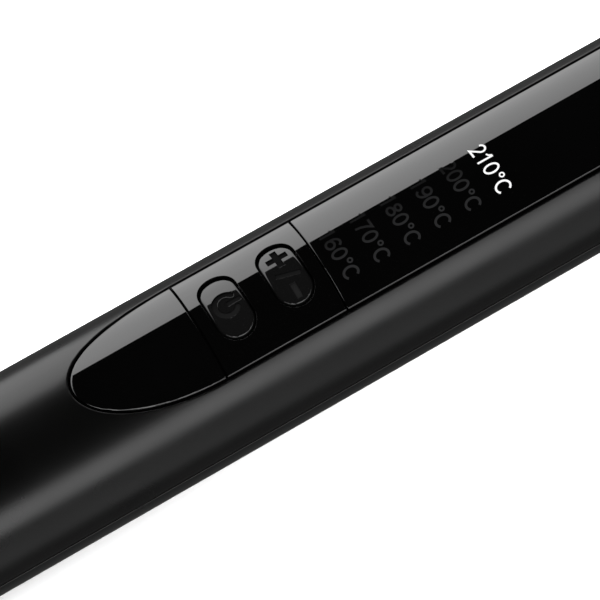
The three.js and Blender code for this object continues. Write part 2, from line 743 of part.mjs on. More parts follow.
function addHandle() {
  add('upper_shell', upperShell(), satinBlack());
  add('lower_shell', lowerShell(), satinBlack());
  add('rear_cap', rearCap(), satinBlack());
  add('shell_screw_rear', shellScrew(boss.rear), steel());
  add('shell_screw_front', shellScrew(boss.front), steel());
  add('collar_screw', shortScrew(), steel());
}

function addPanel() {
  add('tail_lens', tailLens(), glossBlack());
  add('button_panel', buttonPanel(), glossBlack());
  add('display_lens', displayLens(), glossBlack());
  add('power_button', powerButtonCap(), glossBlack());
  add('rocker_button', rockerButtonCap(), glossBlack());
  add('light_guide', lightGuide(), whitePlastic());
  for (let i = 0; i < label.count; i += 1) add(`label_led_${i + 1}`, labelLed(i), whitePlastic());
  add('power_switch', tact(powerButton.x, 0), steel());
  add('plus_switch', tact(rockerButton.x, pill.centreArc + rockerButton.throwHeight), steel());
  add('minus_switch', tact(rockerButton.x, pill.centreArc - rockerButton.throwHeight), steel());
  add('control_board', flatBoard(board, chord(shellInside - board.edgeClear, board.top)), greenBoard());
  add('control_chip', underBoard(chip, board), rubberBlack());
  add('power_board', flatBoard(powerBoard, powerBoard.halfWidth), greenBoard());
  add('mains_capacitor', underBoard(capacitor, powerBoard), brass());
  add('triac', underBoard(triac, powerBoard), rubberBlack());
}

function addSwivel() {
  add('swivel_gland', swivelGland(), satinBlack());
  add('swivel_clip', swivelClip(), steel());
  add('slip_ring_live', slipRing(0), brass());
  add('slip_ring_neutral', slipRing(1), brass());
  add('brush_live', contactBrush(0, 1), brass());
  add('brush_neutral', contactBrush(1, -1), brass());
  add('brush_holder', holderDisc(), whitePlastic());
  add('input_lead_live', inputLead(1), rubberBlack());
  add('input_lead_neutral', inputLead(-1), rubberBlack());
}

function addBarrel() {
  add('front_collar', frontCollar(), satinBlack());
  add('heat_ring', heatRingBand(), steel());
  add('barrel', barrelTube(), ceramicCoat());
  add('heater_block_upper', heaterBlock(1), aluminium());
  add('heater_block_lower', heaterBlock(-1), aluminium());
  add('heater_element', heaterElement(), whitePlastic());
  add('heater_lead_live', heaterLead(1), rubberBlack());
  add('heater_lead_neutral', heaterLead(-1), rubberBlack());
  add('thermal_fuse', capsule(fuse), steel());
  add('thermistor', capsule(thermistor), rubberBlack());
  add('tip_insulator', insulatorRing(), satinBlack());
  add('tip_cap', coolTip(), satinBlack());
}

function addClamp() {
  add('clamp_bracket', clampBracket(), steel());
  add('clamp_pin', clampPin(), steel());
  add('clamp_spoon', clampSpoon(), ceramicCoat());
  add('thumb_lever', thumbLever(), satinBlack());
  add('clamp_spring', clampSpring(), steel());
}

function addStand() {
  add('stand_bail', standBail(), satinBlack());
  add('stand_foot', standFoot(), rubberBlack());
  add('stand_pin_left', standPinOn(1), steel());
  add('stand_pin_right', standPinOn(-1), steel());
}

addHandle();
addPanel();
addSwivel();
addBarrel();
addClamp();
addStand();

iron.rotation.y = -noseUp;
iron.updateMatrixWorld(true);
const footprint = new THREE.Box3().setFromObject(iron, true);
iron.position.set(
  -(footprint.min.x + footprint.max.x) / 2,
  -(footprint.min.y + footprint.max.y) / 2,
  -footprint.min.z,
);
iron.updateMatrixWorld(true);

export default iron;
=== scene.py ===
import json
import math

import bpy
from mathutils import Matrix, Vector


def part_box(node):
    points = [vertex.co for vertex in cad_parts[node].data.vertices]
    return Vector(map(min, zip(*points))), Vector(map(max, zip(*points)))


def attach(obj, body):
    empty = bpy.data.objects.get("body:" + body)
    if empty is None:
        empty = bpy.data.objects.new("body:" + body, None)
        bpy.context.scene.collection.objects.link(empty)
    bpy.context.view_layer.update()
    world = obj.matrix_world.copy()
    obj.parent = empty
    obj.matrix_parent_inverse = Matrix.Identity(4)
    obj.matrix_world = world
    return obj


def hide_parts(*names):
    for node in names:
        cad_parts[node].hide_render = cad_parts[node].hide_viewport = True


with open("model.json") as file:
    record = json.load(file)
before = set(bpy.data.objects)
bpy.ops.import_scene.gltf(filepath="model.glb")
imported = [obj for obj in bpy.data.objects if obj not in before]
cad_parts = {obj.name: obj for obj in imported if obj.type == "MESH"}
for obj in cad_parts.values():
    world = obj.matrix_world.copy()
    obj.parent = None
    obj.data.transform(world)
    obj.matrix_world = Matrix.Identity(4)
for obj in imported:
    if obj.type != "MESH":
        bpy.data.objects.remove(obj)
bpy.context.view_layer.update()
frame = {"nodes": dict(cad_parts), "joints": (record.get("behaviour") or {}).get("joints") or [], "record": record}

# A clip-type curling iron on a pale table, lying on its fold-out stand and the heel of its handle.
# Pieces are drawn along the iron's own axis in millimetres: x from the cord end to the tip, z out of
# the control panel. seat() scales a finished piece to metres and lays it on the table.

TO_MM = 1000
swivel_joint = next(joint for joint in frame["joints"] if joint["name"] == "cord_swivel")
rise = math.atan2(swivel_joint["axis"][2], swivel_joint["axis"][0])
ON_TABLE = (
    Matrix.Translation(swivel_joint["pos_m"]) @ Matrix.Rotation(-rise, 4, "Y") @ Matrix.Scale(0.001, 4)
)


def reach(node):
    """Lowest and highest corner of a CAD node along the iron's own axis, in millimetres."""
    back = ON_TABLE.inverted()
    spots = [back @ vertex.co for vertex in frame["nodes"][node].data.vertices]
    low = Vector([min(spot[i] for spot in spots) for i in range(3)])
    high = Vector([max(spot[i] for spot in spots) for i in range(3)])
    return low, high


# ---------------------------------------------------------------- sizes, in millimetres

GAP = 0.3
SHELL_R = reach("upper_shell")[1].z
SHELL_WALL = 2.6
SHELL_FRONT = reach("upper_shell")[1].x
SHELL_EDGE = 0.22
SEAM = 0.15
SPIGOT_R = 13.6
SCREW_X = {"shell_screw_rear": 28.0, "shell_screw_front": 152.0, "collar_screw": 165.0}

INLAY_TIP = reach("tail_lens")[0].x
DIVIDER_REAR = reach("button_panel")[0].x
DIVIDER_FRONT = reach("display_lens")[0].x
INLAY_FRONT = reach("display_lens")[1].x
INLAY_HALF_ARC = 10.9
INLAY_CORNER = 5.0
INLAY_TOP = -0.08
INLAY_BOTTOM = -1.4

PILL_HALF_WIDTH = 3.55
PILL_HALF_LENGTH = 6.65
PILL_CENTRE_ARC = 0.3
POWER_X = 71.0
ROCKER_X = 82.2

LABELS = ("160", "170", "180", "190", "200", "210")
LABEL_FIRST = 91.7
LABEL_PITCH = 5.96
LABEL_CAP_HEIGHT = 3.0
LABEL_LENGTH = 10.15
LABEL_START_ARC = 3.6
LIT_LINE = 0.12
DIM_LINE = 0.15
FIGURE_STEP = 0.76

BARREL_R = reach("barrel")[1].z
BARREL_FRONT = reach("barrel")[1].x
COLLAR_FRONT = reach("front_collar")[1].x
ROUND_BARREL_R = BARREL_R + GAP

# Flat pieces are cut into strips this wide before they are rolled, and points this close are merged.
STRIP = 0.42
SHEET_STRIP = 0.5
MERGE_WITHIN = 0.0005
CIRCLE_STEPS = 48


# ---------------------------------------------------------------- working a piece

def only(piece):
    bpy.ops.object.select_all(action="DESELECT")
    piece.select_set(True)
    bpy.context.view_layer.objects.active = piece


def edit(piece, select="EDGE"):
    only(piece)
    bpy.ops.object.mode_set(mode="EDIT")
    bpy.ops.mesh.select_mode(type=select)
    bpy.ops.mesh.select_all(action="SELECT")


def leave_edit():
    bpy.ops.object.mode_set(mode="OBJECT")


def apply_place(piece):
    only(piece)
    bpy.ops.object.transform_apply(location=True, rotation=True, scale=True)


def place(piece, matrix):
    piece.matrix_world = matrix
    apply_place(piece)


def finish_modifier(piece, kind, **settings):
    only(piece)
    modifier = piece.modifiers.new("work", kind)
    for key, value in settings.items():
        setattr(modifier, key, value)
    bpy.ops.object.modifier_apply(modifier=modifier.name)


def clean(piece):
    """Merges doubled points and the faces that lie flat together."""
    edit(piece)
    bpy.ops.mesh.remove_doubles(threshold=MERGE_WITHIN)
    bpy.ops.mesh.dissolve_limited(angle_limit=0.003)
    bpy.ops.mesh.select_all(action="SELECT")
    bpy.ops.mesh.normals_make_consistent(inside=False)
    leave_edit()


def cut_away(piece, tool, **settings):
    finish_modifier(piece, "BOOLEAN", operation="DIFFERENCE", solver="EXACT", object=tool, **settings)
    bpy.data.objects.remove(tool)


def weld(piece, *others):
    for other in others:
        finish_modifier(piece, "BOOLEAN", operation="UNION", solver="EXACT", object=other)
        bpy.data.objects.remove(other)


def gather(piece, *others):
    bpy.ops.object.select_all(action="DESELECT")
    for other in others:
        other.select_set(True)
    piece.select_set(True)
    bpy.context.view_layer.objects.active = piece
    bpy.ops.object.join()
    return piece


def trim(piece, point, normal):
    """Cuts a piece off on the side that the normal points to, and closes the cut."""
    edit(piece)
    bpy.ops.mesh.bisect(plane_co=point, plane_no=normal, use_fill=True, clear_outer=True)
    leave_edit()


def soften(piece, width, segments=3):
    """Rounds every edge where two faces turn by more than 50 degrees."""
    edit(piece)
    bpy.ops.mesh.select_all(action="DESELECT")
    bpy.ops.mesh.edges_select_sharp(sharpness=math.radians(50))
    bpy.ops.mesh.bevel(offset=width, segments=segments, affect="EDGES", clamp_overlap=True)
    leave_edit()


def smooth(piece, angle=32):
    only(piece)
    bpy.ops.object.shade_smooth_by_angle(angle=math.radians(angle))
    finish_modifier(piece, "WEIGHTED_NORMAL", keep_sharp=True, weight=60)


# ---------------------------------------------------------------- outlines

def arc(centre, radii, start, end, steps):
    """Points on an ellipse's arc, from one angle to another, in degrees."""
    turns = [math.radians(start + (end - start) * i / steps) for i in range(steps + 1)]
    return [(centre[0] + radii[0] * math.cos(t), centre[1] + radii[1] * math.sin(t)) for t in turns]


def rounded(corners, closed=True, steps=5):
    """An outline whose corners, given as (a, b) or (a, b, radius), are rounded by their radius."""
    points = []
    count = len(corners)
    for i, corner in enumerate(corners):
        here = Vector(corner[:2])
        at_end = not closed and i in (0, count - 1)
        if len(corner) < 3 or at_end:
            points.append(tuple(here))
            continue
        before = (Vector(corners[i - 1][:2]) - here).normalized()
        after = (Vector(corners[(i + 1) % count][:2]) - here).normalized()
        half = before.angle(after) / 2
        centre = here + (before + after).normalized() * corner[2] / math.sin(half)
        start = here + before * corner[2] / math.tan(half) - centre
        end = here + after * corner[2] / math.tan(half) - centre
        points += [tuple(centre + start.slerp(end, k / steps) * corner[2]) for k in range(steps + 1)]
    return points


def rectangle(a_low, a_high, b_low, b_high, radius=0.0):
    corners = [(a_low, b_low), (a_high, b_low), (a_high, b_high), (a_low, b_high)]
    return rounded([(*corner, radius) for corner in corners]) if radius else corners


def circle(a, b, radius):
    return arc((a, b), (radius, radius), 0, 360 * (1 - 1 / CIRCLE_STEPS), CIRCLE_STEPS - 1)


def inlay_outline(grow=0.0):
    half = INLAY_HALF_ARC + grow
    front = INLAY_FRONT + grow
    tail = arc((DIVIDER_REAR, 0), (DIVIDER_REAR - INLAY_TIP + grow, half), 90, 270, 48)
    corner = (INLAY_CORNER, INLAY_CORNER)
    right = arc((front - INLAY_CORNER, INLAY_CORNER - half), corner, -90, 0, 8)
    left = arc((front - INLAY_CORNER, half - INLAY_CORNER), corner, 0, 90, 8)
    return tail + right + left


def pill_outline(x, centre, grow=0.0):
    radius = PILL_HALF_WIDTH + grow
    offset = PILL_HALF_LENGTH - PILL_HALF_WIDTH
    far = arc((x, centre + offset), (radius, radius), 0, 180, 20)
    near = arc((x, centre - offset), (radius, radius), 180, 360, 20)
    return far + near


# ---------------------------------------------------------------- plates, rolled and turned pieces

def plate(name, outlines, low, high, edge=0.0, rounds=3):
    """A flat plate with an outline and any holes, from one height to another, with rounded edges."""
    bpy.ops.object.select_all(action="DESELECT")
    bpy.ops.curve.primitive_bezier_circle_add()
    piece = bpy.context.object
    drawing = piece.data
    drawing.splines.clear()
    drawing.dimensions = "2D"
    drawing.fill_mode = "BOTH"
    for outline in outlines:
        spline = drawing.splines.new("POLY")
        spline.points.add(len(outline) - 1)
        for point, (a, b) in zip(spline.points, outline):
            point.co = (a, b, 0, 1)
        spline.use_cyclic_u = True
    drawing.extrude = (high - low) / 2 - edge
    drawing.bevel_depth = edge
    drawing.bevel_resolution = rounds
    drawing.offset = -edge
    bpy.ops.object.convert(target="MESH")
    piece = bpy.context.object
    piece.name = name
    piece.location.z = (low + high) / 2
    apply_place(piece)
    clean(piece)
    return piece


def score(piece, width=STRIP):
    """Cuts a flat piece into strips about that wide along the axis, so that it rolls smoothly."""
    reach_y = [vertex.co.y for vertex in piece.data.vertices]
    low, high = min(reach_y), max(reach_y)
    count = int((high - low) / width)
    edit(piece)
    for i in range(1, count + 1):
        at = low + (high - low) * i / (count + 1)
        bpy.ops.mesh.select_all(action="SELECT")
        bpy.ops.mesh.bisect(plane_co=(0, at, 0), plane_no=(0, 1, 0))
    leave_edit()


def roll(piece, radius):
    """Bends a flat piece round the x axis, so that its height 0 lands at that radius."""
    piece.rotation_euler.x = math.radians(90)
    apply_place(piece)
    arc_ends = [vertex.co.z for vertex in piece.data.vertices]
    turn = (max(arc_ends) - min(arc_ends)) / radius
    finish_modifier(piece, "SIMPLE_DEFORM", deform_method="BEND", deform_axis="X", angle=turn)
    piece.rotation_euler.x = math.radians(-90)
    piece.location.z = radius
    apply_place(piece)


def turned(name, profile, facets=128, closed=False):
    """A piece turned on a lathe about the x axis, from its profile of (x, radius) points."""
    points = [Vector((x, 0, radius)) for x, radius in profile]
    if closed:
        points.append(points[0].copy())
    bpy.ops.object.select_all(action="DESELECT")
    bpy.ops.mesh.primitive_plane_add(size=1)
    piece = bpy.context.object
    piece.name = name
    edit(piece, "VERT")
    bpy.ops.mesh.merge(type="CENTER")
    bpy.ops.transform.translate(value=points[0])
    for before, after in zip(points, points[1:]):
        bpy.ops.mesh.extrude_region_move(TRANSFORM_OT_translate={"value": after - before})
    bpy.ops.mesh.select_all(action="SELECT")
    bpy.ops.mesh.spin(steps=facets, angle=2 * math.pi, center=(0, 0, 0), axis=(1, 0, 0))
    bpy.ops.mesh.select_all(action="SELECT")
    bpy.ops.mesh.remove_doubles(threshold=MERGE_WITHIN)
    bpy.ops.mesh.normals_make_consistent(inside=False)
    leave_edit()
    return piece


def seat(piece, body, material, replaces=(), turn=Matrix()):
    """Lays a finished piece on the table, in metres, and hands it to its body."""
    place(piece, ON_TABLE @ turn)
    if not piece.data.materials:
        piece.data.materials.append(material)
    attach(piece, body)
    if replaces:
        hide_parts(*replaces)


# ---------------------------------------------------------------- materials

def grey(level):
    return (level, level, level)


def new_material(name, color, roughness, metallic=0.0, shine=0.5):
    material = bpy.data.materials.new(name)
    material.use_nodes = True
    shader = material.node_tree.nodes["Principled BSDF"]
    shader.inputs["Base Color"].default_value = (*color, 1)
    shader.inputs["Roughness"].default_value = roughness
    shader.inputs["Metallic"].default_value = metallic
    shader.inputs["Specular IOR Level"].default_value = shine
    return material, material.node_tree, shader


def grain(tree, scale, detail=2.0, stretch=(1, 1, 1)):
    """Noise on the piece's own coordinates, at so many grains to the metre."""
    coordinates = tree.nodes.new("ShaderNodeTexCoord")
    mapping = tree.nodes.new("ShaderNodeMapping")
    mapping.inputs["Rotation"].default_value = (0, rise, 0)
    mapping.inputs["Scale"].default_value = stretch
    noise = tree.nodes.new("ShaderNodeTexNoise")
    noise.inputs["Scale"].default_value = scale
    noise.inputs["Detail"].default_value = detail
    tree.links.new(coordinates.outputs["Object"], mapping.inputs["Vector"])
    tree.links.new(mapping.outputs["Vector"], noise.inputs["Vector"])
    return noise.outputs["Fac"]


def ranged(tree, value, low, high):
    """Spreads the middle of a noise value over the range from low to high."""
    spread = tree.nodes.new("ShaderNodeMapRange")
    spread.inputs["From Min"].default_value = 0.3
    spread.inputs["From Max"].default_value = 0.7
    spread.inputs["To Min"].default_value = low
    spread.inputs["To Max"].default_value = high
    tree.links.new(value, spread.inputs["Value"])
    return spread.outputs["Result"]


def mixed(tree, share, first, last):
    """A colour that goes from the first to the last as the share goes from 0 to 1."""
    mix = tree.nodes.new("ShaderNodeMix")
    mix.data_type = "RGBA"
    mix.inputs["A"].default_value = (*first, 1)
    mix.inputs["B"].default_value = (*last, 1)
    tree.links.new(share, mix.inputs["Factor"])
    return mix.outputs["Result"]


def tinted(tree, value, dark, light):
    return mixed(tree, ranged(tree, value, 0, 1), dark, light)


def bumped(tree, shader, value, strength, distance):
    bump = tree.nodes.new("ShaderNodeBump")
    bump.inputs["Strength"].default_value = strength
    bump.inputs["Distance"].default_value = distance
    tree.links.new(value, bump.inputs["Height"])
    tree.links.new(bump.outputs["Normal"], shader.inputs["Normal"])


def moulded(name, dark, light, rough_low, rough_high, grain_scale=5500, bump=0.25, depth=0.00002,
            shine=0.5):
    """Moulded plastic with a fine eroded grain and slightly uneven sheen."""
    material, tree, shader = new_material(name, light, rough_high, shine=shine)
    tree.links.new(tinted(tree, grain(tree, 90), dark, light), shader.inputs["Base Color"])
    tree.links.new(ranged(tree, grain(tree, 60, 3), rough_low, rough_high), shader.inputs["Roughness"])
    bumped(tree, shader, grain(tree, grain_scale), bump, depth)
    return material


def polished(name, dark, light, rough, shine=0.5):
    """Polished plastic: hardly any texture, with a trace of flow in the surface."""
    material, tree, shader = new_material(name, light, rough, shine=shine)
    tree.links.new(tinted(tree, grain(tree, 40), dark, light), shader.inputs["Base Color"])
    tree.links.new(ranged(tree, grain(tree, 25), rough * 0.8, rough * 1.3), shader.inputs["Roughness"])
    bumped(tree, shader, grain(tree, 45, 0), 0.05, 0.00002)
    return material


def metal(name, color, rough_low, rough_high, stretch=(1, 1, 1)):
    """Metal with drawn or turned marks, longest where the stretch is smallest."""
    material, tree, shader = new_material(name, color, rough_high, 1.0)
    darker = tuple(channel * 0.88 for channel in color)
    marks = grain(tree, 900, 3, stretch)
    tree.links.new(tinted(tree, marks, darker, color), shader.inputs["Base Color"])
    tree.links.new(ranged(tree, marks, rough_low, rough_high), shader.inputs["Roughness"])
    bumped(tree, shader, marks, 0.1, 0.00002)
    return material


def across(tree, start, end, first, last):
    """A value that changes from first to last between two places across the handle, left to right."""
    coordinates = tree.nodes.new("ShaderNodeTexCoord")
    parts = tree.nodes.new("ShaderNodeSeparateXYZ")
    tree.links.new(coordinates.outputs["Object"], parts.inputs["Vector"])
    result = ranged(tree, parts.outputs["Y"], first, last)
    result.node.inputs["From Min"].default_value = start / TO_MM
    result.node.inputs["From Max"].default_value = end / TO_MM
    return result


def lamp_or_painted_glow(name, color, first, last):
    """Figures that glow, from the first strength at the left to the last at the right: the lit figure is the
    display's lamp, while the glow of the dim printed figures is painted light, brighter towards the right.
    """
    material, tree, shader = new_material(name, grey(0.001), 0.05)
    shader.inputs["Emission Color"].default_value = (*color, 1)
    tree.links.new(across(tree, 3.6, -3, first, last), shader.inputs["Emission Strength"])
    return material


def painted_shade_lining(name, left, right):
    """Matt dark grey for the sunk symbols, with painted shade that makes them darker at the left of a key and
    lighter at the right.
    """
    material, tree, shader = new_material(name, left, 0.6, shine=0.01)
    tree.links.new(mixed(tree, across(tree, 2.5, -3.5, 0, 1), left, right), shader.inputs["Base Color"])
    tree.links.new(ranged(tree, grain(tree, 7000), 0.55, 0.65), shader.inputs["Roughness"])
    return material


SATIN = moulded("satin_shell", grey(0.0003), grey(0.0005), 0.27, 0.31, shine=0.29)
GLOSS = polished("gloss_panel", grey(0.0001), grey(0.0002), 0.03)
KEY_GLOSS = polished("key_gloss", grey(0.0012), grey(0.0015), 0.05, shine=0.4)
# The sunk symbols' own matt grey carries painted shade, darker at the left of each key.
SYMBOL_PAINTED_SHADE = painted_shade_lining("symbol_lining_painted_shade", grey(0.001), grey(0.0042))
CERAMIC = moulded("ceramic_coat", (0.010, 0.010, 0.0105), (0.014, 0.014, 0.015), 0.2, 0.26, 2500, 0.1)
RUBBER = moulded("foot_rubber", grey(0.012), grey(0.02), 0.65, 0.8, 3000, 0.4, 0.00005)
STEEL = metal("plain_steel", (0.62, 0.62, 0.63), 0.2, 0.34, (0.05, 1, 1))
RING_STEEL = metal("turned_steel", (0.55, 0.55, 0.56), 0.18, 0.3, (1, 0.05, 0.05))
BRASS = metal("contact_brass", (0.78, 0.58, 0.25), 0.2, 0.35)
ALUMINIUM = metal("cast_aluminium", (0.66, 0.67, 0.68), 0.3, 0.45)
BOARD = moulded("circuit_board", (0.01, 0.09, 0.03), (0.02, 0.14, 0.05), 0.3, 0.45, 1500, 0.1)
# A matt black with almost no sheen, put under the inlay as painted shade so the gaps round it read dark.
SHADE_BACKING = moulded("painted_shade_backing", grey(0.0008), grey(0.0012), 0.7, 0.8, shine=0.01)
EPOXY = moulded("dark_epoxy", (0.012, 0.012, 0.013), (0.02, 0.02, 0.022), 0.45, 0.6)
NATURAL = moulded("natural_plastic", (0.66, 0.63, 0.55), (0.75, 0.72, 0.65), 0.4, 0.55)
SLEEVE = moulded("lead_sleeve", grey(0.02), grey(0.035), 0.5, 0.65)
LIT_FIGURES = lamp_or_painted_glow("lit_figures", (1, 1, 1), 1.0, 1.05)
# The dim figures are print; their faint glow, stronger towards the right, is painted light.
DIM_FIGURES_PAINTED_GLOW = lamp_or_painted_glow("dim_figures_painted_glow", (1, 1, 1.04), 0.001, 0.018)


# ---------------------------------------------------------------- handle shells

def half_skin(name, holes):
    """Half of the handle's skin, drawn flat: x along it, y round it, height 0 at its outside."""
    half = math.pi / 2 * SHELL_R
    spare = 4.0
    outside = rectangle(-spare, SHELL_FRONT + spare, -half - spare, half + spare)
    hole_edge = 0.3 if holes else 0.0
    skin = plate(name, [outside, *holes], -SHELL_WALL, 0, hole_edge, 4)
    trim(skin, (0, 0, 0), (-1, 0, 0))
    trim(skin, (SHELL_FRONT, 0, 0), (1, 0, 0))
    trim(skin, (0, half - SEAM, 0), (0, 1, 0))
    trim(skin, (0, SEAM - half, 0), (0, -1, 0))
    return skin


def make_upper_shell():
    """The shell above the seam, with the recess that the inlay lies in and that recess's black floor, a matt sheet
    of painted shade that keeps the gaps round the inlay dark.
    """
    skin = half_skin("upper_shell_skin", [inlay_outline(GAP)])
    soften(skin, SHELL_EDGE)
    ledge, margin, corner = 1.2, 3.3, 0.5
    last_label = LABEL_FIRST + 5 * LABEL_PITCH
    key_well = rectangle(DIVIDER_REAR + ledge, DIVIDER_FRONT - ledge, -8.7, 8.7, corner)
    label_window = rectangle(LABEL_FIRST - margin, last_label + margin, -7.9, 4.7, corner)
    floor_outlines = [inlay_outline(1.6), key_well, label_window]
    # The recess floor is painted shade: a matt black sheet under the gaps round the inlay.
    floor = plate("recess_floor_painted_shade", floor_outlines, -SHELL_WALL, INLAY_BOTTOM - 2 * GAP)
    skin.data.materials.append(SATIN)
    floor.data.materials.append(SHADE_BACKING)
    gather(skin, floor)
    score(skin)
    roll(skin, SHELL_R)
    smooth(skin)
    seat(skin, "handle", SATIN, ["upper_shell"])


def make_lower_shell():
    """The shell below the seam, with a well for each screw, made upright and turned over at the end."""
    skin = half_skin("lower_shell_skin", [])
    for x in SCREW_X.values():
        cut_away(skin, plate("hole", [circle(x, 0, 2.9)], -10, 5))
    soften(skin, SHELL_EDGE)
    score(skin)
    roll(skin, SHELL_R)
    for node, x in SCREW_X.items():
        seat_height = 15.0 if node == "collar_screw" else 9.0
        outside = circle(x, 0, 3.6)
        well = plate("well", [outside, circle(x, 0, 2.85)], seat_height, SHELL_R - 0.9)
        floor = plate("well_floor", [outside, circle(x, 0, 1.6)], seat_height - 1, seat_height)
        gather(skin, well, floor)
    smooth(skin)
    seat(skin, "handle", SATIN, ["lower_shell"], Matrix.Rotation(math.pi, 4, "X"))


# ---------------------------------------------------------------- control panel

def inlay_strip(name, start=None, end=None):
    """One length of the gloss inlay, drawn flat, whose outer edges are rounded by 0.5."""
    strip = plate(name, [inlay_outline()], INLAY_BOTTOM, INLAY_TOP, 0.5, 5)
    if start is not None:
        trim(strip, (start, 0, 0), (-1, 0, 0))
    if end is not None:
        trim(strip, (end, 0, 0), (1, 0, 0))
    return strip


def make_inlay():
    """The inlay's three lengths, with a slightly wider gap behind the buttons than before the display."""
    wider = 0.12
    rear_edge = DIVIDER_REAR - GAP - wider
    front_edge = DIVIDER_FRONT - GAP
    tail = inlay_strip("tail_lens_gloss", end=rear_edge)
    panel = inlay_strip("button_panel_gloss", DIVIDER_REAR, front_edge)
    soften(panel, 0.1)
    for x in (POWER_X, ROCKER_X):
        cut_away(panel, plate("hole", [pill_outline(x, PILL_CENTRE_ARC)], -3, 3))
    lens = inlay_strip("display_lens_gloss", start=DIVIDER_FRONT)
    for strip, node, slot, edge in (
        (tail, "tail_lens", "panel_gloss", 0.08),
        (panel, "button_panel", "panel_gloss", 0.03),
        (lens, "display_lens", "display_gloss", 0.3),
    ):
        soften(strip, edge, 4)
        score(strip)
        roll(strip, SHELL_R)
        smooth(strip)
        seat(strip, "handle", GLOSS, [node])


KEY_RADIUS = 11.5
KEY_TOP = SHELL_R - 0.05
KEY_THICKNESS = 2.0
KEY_GROW = -0.2
FLANGE_GROW = 0.35
SYMBOL_DEPTH = 0.26


def key_blank(name, x):
    blank = plate(name, [pill_outline(x, 0, KEY_GROW)], -KEY_THICKNESS, 0, 0.7, 6)
    blank.data.materials.append(KEY_GLOSS)
    return blank


def sink(blank, drawings):
    """Cuts a symbol into a key's top, lined with the matt symbol grey and its painted shade, with a rounded rim.
    """
    for i, drawing in enumerate(drawings):
        tool = plate(f"symbol_{i}", [drawing], -SYMBOL_DEPTH, 1)
        # The cut's floor and walls take the symbol grey with its painted shade.
        tool.data.materials.append(SYMBOL_PAINTED_SHADE)
        cut_away(blank, tool, material_mode="TRANSFER")
    edit(blank, "FACE")
    bpy.ops.mesh.select_all(action="DESELECT")
    blank.active_material_index = 1
    bpy.ops.object.material_slot_select()
    bpy.ops.mesh.region_to_loop()
    bpy.ops.mesh.bevel(offset=0.09, segments=2, affect="EDGES", clamp_overlap=True, material=0)
    leave_edit()


def add_flange(blank, x):
    """The rim under the panel that keeps a key from falling out."""
    low, high = -KEY_THICKNESS - 0.75, -KEY_THICKNESS + 0.15
    rim = plate("flange", [pill_outline(x, 0, FLANGE_GROW)], low, high, 0.1)
    rim.data.materials.append(KEY_GLOSS)
    gather(blank, rim)


def finish_key(blank, body, node, x):
    add_flange(blank, x)
    score(blank)
    roll(blank, KEY_RADIUS)
    tilt = Matrix.Rotation(-PILL_CENTRE_ARC / SHELL_R, 4, "X")
    lift = Matrix.Translation((0, 0, KEY_TOP - KEY_RADIUS))
    place(blank, tilt @ lift)
    smooth(blank, 40)
    seat(blank, body, KEY_GLOSS, [node])


def power_symbol(x):
    """A ring that is open towards the tip, and a bar from its middle out through the gap."""
    outer, inner, gap_angle = 2.45, 1.5, 38
    middle = (outer + inner) / 2
    half_line = (outer - inner) / 2
    far = arc((x, 0), (outer, outer), gap_angle, 360 - gap_angle, 40)
    turn = math.radians(gap_angle)
    ends = [(x + middle * math.cos(turn), -middle * math.sin(turn)),
            (x + middle * math.cos(turn), middle * math.sin(turn))]
    first = arc(ends[0], (half_line, half_line), -gap_angle, -gap_angle + 180, 8)[1:-1]
    near = arc((x, 0), (inner, inner), 360 - gap_angle, gap_angle, 40)
    last = arc(ends[1], (half_line, half_line), gap_angle + 180, gap_angle + 360, 8)[1:-1]
    open_ring = far + first + near + last
    start, end, half = x + 0.1, x + 2.75, 0.45
    bar = rounded([(start, -half, 0.2), (end, -half, 0.4), (end, half, 0.4), (start, half, 0.2)])
    return [open_ring, bar]


def plus_minus_symbols(x):
    """A plus at the left of the key, a minus at its right and a slanting line between them."""
    plus_x, plus_y, arm, half = x + 0.2, 3.15, 1.95, 0.58
    plus = [
        (plus_x - arm, plus_y - half), (plus_x - half, plus_y - half), (plus_x - half, plus_y - arm),
        (plus_x + half, plus_y - arm), (plus_x + half, plus_y - half), (plus_x + arm, plus_y - half),
        (plus_x + arm, plus_y + half), (plus_x + half, plus_y + half), (plus_x + half, plus_y + arm),
        (plus_x - half, plus_y + arm), (plus_x - half, plus_y + half), (plus_x - arm, plus_y + half),
    ]
    start, end = Vector((x - 1.8, -0.05)), Vector((x + 2.4, -1.3))
    side = (end - start).normalized().orthogonal() * 0.42
    slash = [tuple(start - side), tuple(end - side), tuple(end + side), tuple(start + side)]
    minus = rectangle(x - 0.45, x + 0.65, -5.2, -2.4)
    return [plus, slash, minus]


def make_keys():
    power = key_blank("power_key_cap", POWER_X)
    sink(power, power_symbol(POWER_X))
    finish_key(power, "power_key", "power_button", POWER_X)
    rocker = key_blank("rocker_key_cap", ROCKER_X)
    sink(rocker, plus_minus_symbols(ROCKER_X))
    finish_key(rocker, "rocker_key", "rocker_button", ROCKER_X)


def stroke(path, width):
    """The outline of a line of that width, with square ends and mitred corners."""
    points = [Vector(point) for point in path]
    left, right = [], []
    for i, point in enumerate(points):
        before = (point - points[i - 1]).normalized() if i else (points[1] - point).normalized()
        after = (points[i + 1] - point).normalized() if i < len(points) - 1 else before
        middle = (before + after).normalized()
        side = Vector((-middle.y, middle.x)) * width / 2 / max(0.4, middle.dot(after))
        left.append(tuple(point + side))
        right.append(tuple(point - side))
    return left + right[::-1]


def ring(centre, radii, width):
    """The two outlines of a line of that width round an ellipse."""
    outer = arc(centre, [radius + width / 2 for radius in radii], 0, 354, 59)
    inner = arc(centre, [radius - width / 2 for radius in radii], 0, 354, 59)
    return [outer, inner]


def six(width, turned_round=False):
    """A six, or a nine when it is turned upside down."""
    bowl = ring((0.34, 0.32), (0.265, 0.245), width)
    back = [stroke(arc((0.385, 0.5), (0.31, 0.425), 190, 42, 24), width)]
    pieces = [bowl, back]
    if turned_round:
        pieces = [[[(0.68 - a, 1 - b) for a, b in outline] for outline in piece] for piece in pieces]
    return pieces


